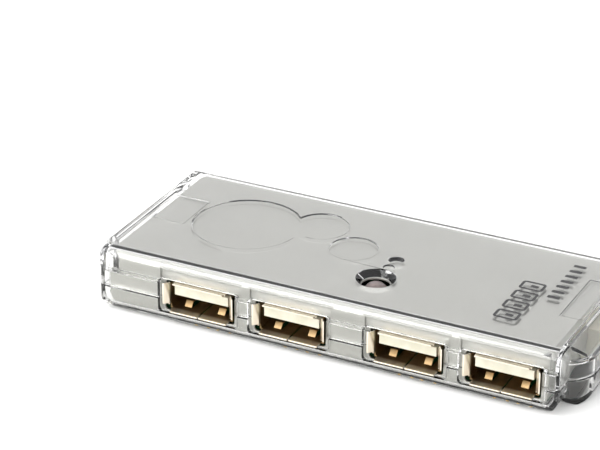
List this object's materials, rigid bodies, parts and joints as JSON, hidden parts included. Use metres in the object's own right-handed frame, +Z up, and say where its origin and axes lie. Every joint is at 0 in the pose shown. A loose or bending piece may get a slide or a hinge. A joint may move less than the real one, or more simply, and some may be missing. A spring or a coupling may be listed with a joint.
{
  "type": "usb hub",
  "caption": "Slim flat hub with clear covers over silver trays, data sockets in a row along one long side, an upstream socket in one end and a power jack in the other.",
  "frame": {"origin": "centre of the underside", "axes": "+X along the length towards the power jack, -Y out of the row of sockets, +Z up"},
  "size_m": [0.098, 0.04, 0.0125],
  "materials": {
    "clear_plastic": "clear, polished",
    "silver_paint": "satin silver paint on plastic",
    "solder_mask": "semi-gloss",
    "socket_sheet": "tin-plated sheet, satin",
    "white_plastic": "moulded",
    "gold_plate": "flash gold",
    "nickel_plate": "satin nickel",
    "black_plastic": "moulded",
    "light_epoxy": "clear tinted epoxy",
    "chip_epoxy": "moulded",
    "can_steel": "drawn can",
    "can_aluminium": "drawn can",
    "tan_ceramic": "fired ceramic",
    "black_ceramic": "fired ceramic",
    "green_fuse": "coated"
  },
  "bodies": {
    "root": {"top_cover": "clear_plastic", "bottom_cover": "clear_plastic", "top_tray": "silver_paint", "bottom_tray": "silver_paint", "circuit_board": "solder_mask", "socket_1_shell": "socket_sheet", "socket_2_shell": "socket_sheet", "socket_3_shell": "socket_sheet", "socket_4_shell": "socket_sheet", "socket_1_insulator": "white_plastic", "socket_2_insulator": "white_plastic", "socket_3_insulator": "white_plastic", "socket_4_insulator": "white_plastic", "socket_1_contacts": "gold_plate", "socket_2_contacts": "gold_plate", "socket_3_contacts": "gold_plate", "socket_4_contacts": "gold_plate", "upstream_shell": "nickel_plate", "upstream_insulator": "black_plastic", "upstream_contacts": "gold_plate", "power_jack_housing": "white_plastic", "power_jack_pin": "nickel_plate", "power_jack_spring": "gold_plate", "status_led": "light_epoxy", "hub_controller": "chip_epoxy", "clock_crystal": "can_steel", "voltage_regulator": "chip_epoxy", "electrolytic_capacitors": "can_aluminium", "ceramic_capacitors": "tan_ceramic", "chip_resistors": "black_ceramic", "port_fuses": "green_fuse"}
  },
  "joints": []
}
